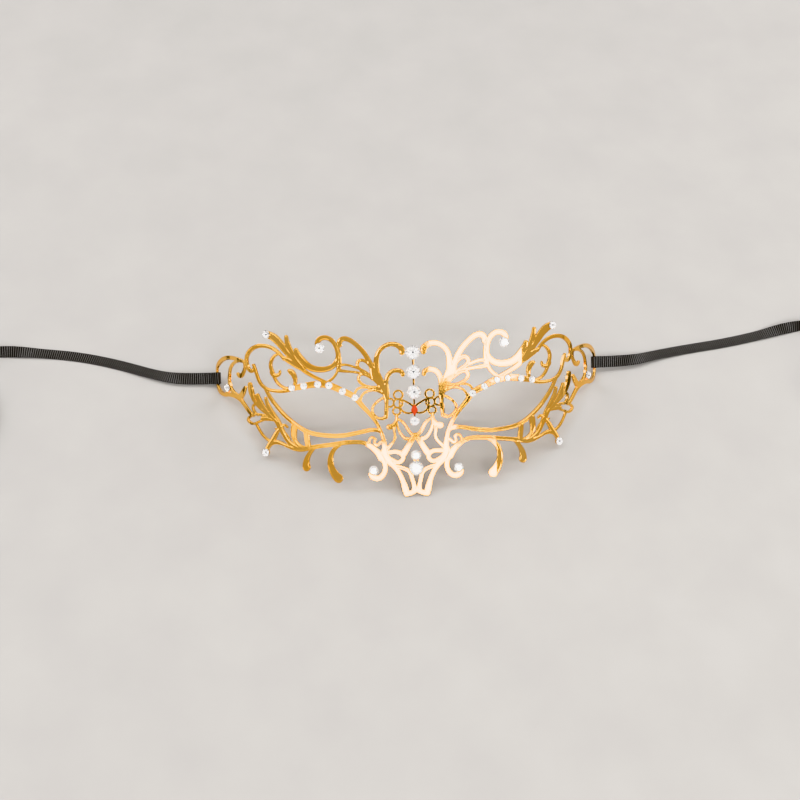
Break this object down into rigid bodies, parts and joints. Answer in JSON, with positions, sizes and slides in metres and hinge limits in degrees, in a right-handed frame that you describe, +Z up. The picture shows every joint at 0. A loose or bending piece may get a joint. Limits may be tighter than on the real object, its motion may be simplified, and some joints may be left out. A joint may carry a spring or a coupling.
{
  "type": "venetian masquerade mask",
  "caption": "Filigree eye mask cut from one sheet of gold-coloured metal, bent round the face, set with clear stones and tied with black ribbons.",
  "frame": {"origin": "on the table, under the middle of the mask without its ribbons and coils", "axes": "+Z up from the table; +X to the right of someone looking at the front; +Y towards the crown, horizontally. The mask leans back on the foot of its nose and the two end scrolls, 40.9 degrees above the table."},
  "size_m": [0.543, 0.0939, 0.0486],
  "materials": {
    "gold_metal": "polished",
    "clear_stone": "polished",
    "red_enamel": "gloss",
    "black_ribbon": "matte",
    "black_thread": "matte"
  },
  "bodies": {
    "mask": {"bow_enamel": "red_enamel", "bow_stone": "clear_stone", "bridge_stone": "clear_stone", "crown_stone": "clear_stone", "left_brow_stone_1": "clear_stone", "left_brow_stone_2": "clear_stone", "left_brow_stone_3": "clear_stone", "left_brow_stone_4": "clear_stone", "left_brow_stone_5": "clear_stone", "left_brow_stone_6": "clear_stone", "left_cheek_stone": "clear_stone", "left_nose_scroll_stone": "clear_stone", "left_scroll_stone": "clear_stone", "left_side_stone": "clear_stone", "left_tip_stone": "clear_stone", "lower_centre_stone": "clear_stone", "mask_frame": "gold_metal", "nose_stone": "clear_stone", "right_brow_stone_1": "clear_stone", "right_brow_stone_2": "clear_stone", "right_brow_stone_3": "clear_stone", "right_brow_stone_4": "clear_stone", "right_brow_stone_5": "clear_stone", "right_brow_stone_6": "clear_stone", "right_cheek_stone": "clear_stone", "right_nose_scroll_stone": "clear_stone", "right_scroll_stone": "clear_stone", "right_side_stone": "clear_stone", "right_tip_stone": "clear_stone", "upper_centre_stone": "clear_stone"},
    "left_ribbon": {"left_ribbon_coil": "black_ribbon", "left_ribbon_fold": "black_ribbon", "left_ribbon_tie": "black_ribbon", "left_seam": "black_thread"},
    "right_ribbon": {"right_ribbon_coil": "black_ribbon", "right_ribbon_fold": "black_ribbon", "right_ribbon_tie": "black_ribbon", "right_seam": "black_thread"}
  },
  "joints": [
    {"name": "left_ribbon_swing", "type": "hinge", "parent": "mask", "child": "left_ribbon", "pos_m": [-0.09228, 0.03214, 0.00351], "axis": [0, -0.7557, -0.6549], "range_deg": [-80, 86]},
    {"name": "right_ribbon_swing", "type": "hinge", "parent": "mask", "child": "right_ribbon", "pos_m": [0.09228, 0.0332, 0.00443], "axis": [0, 0.7557, 0.6549], "range_deg": [-80, 86]}
  ]
}
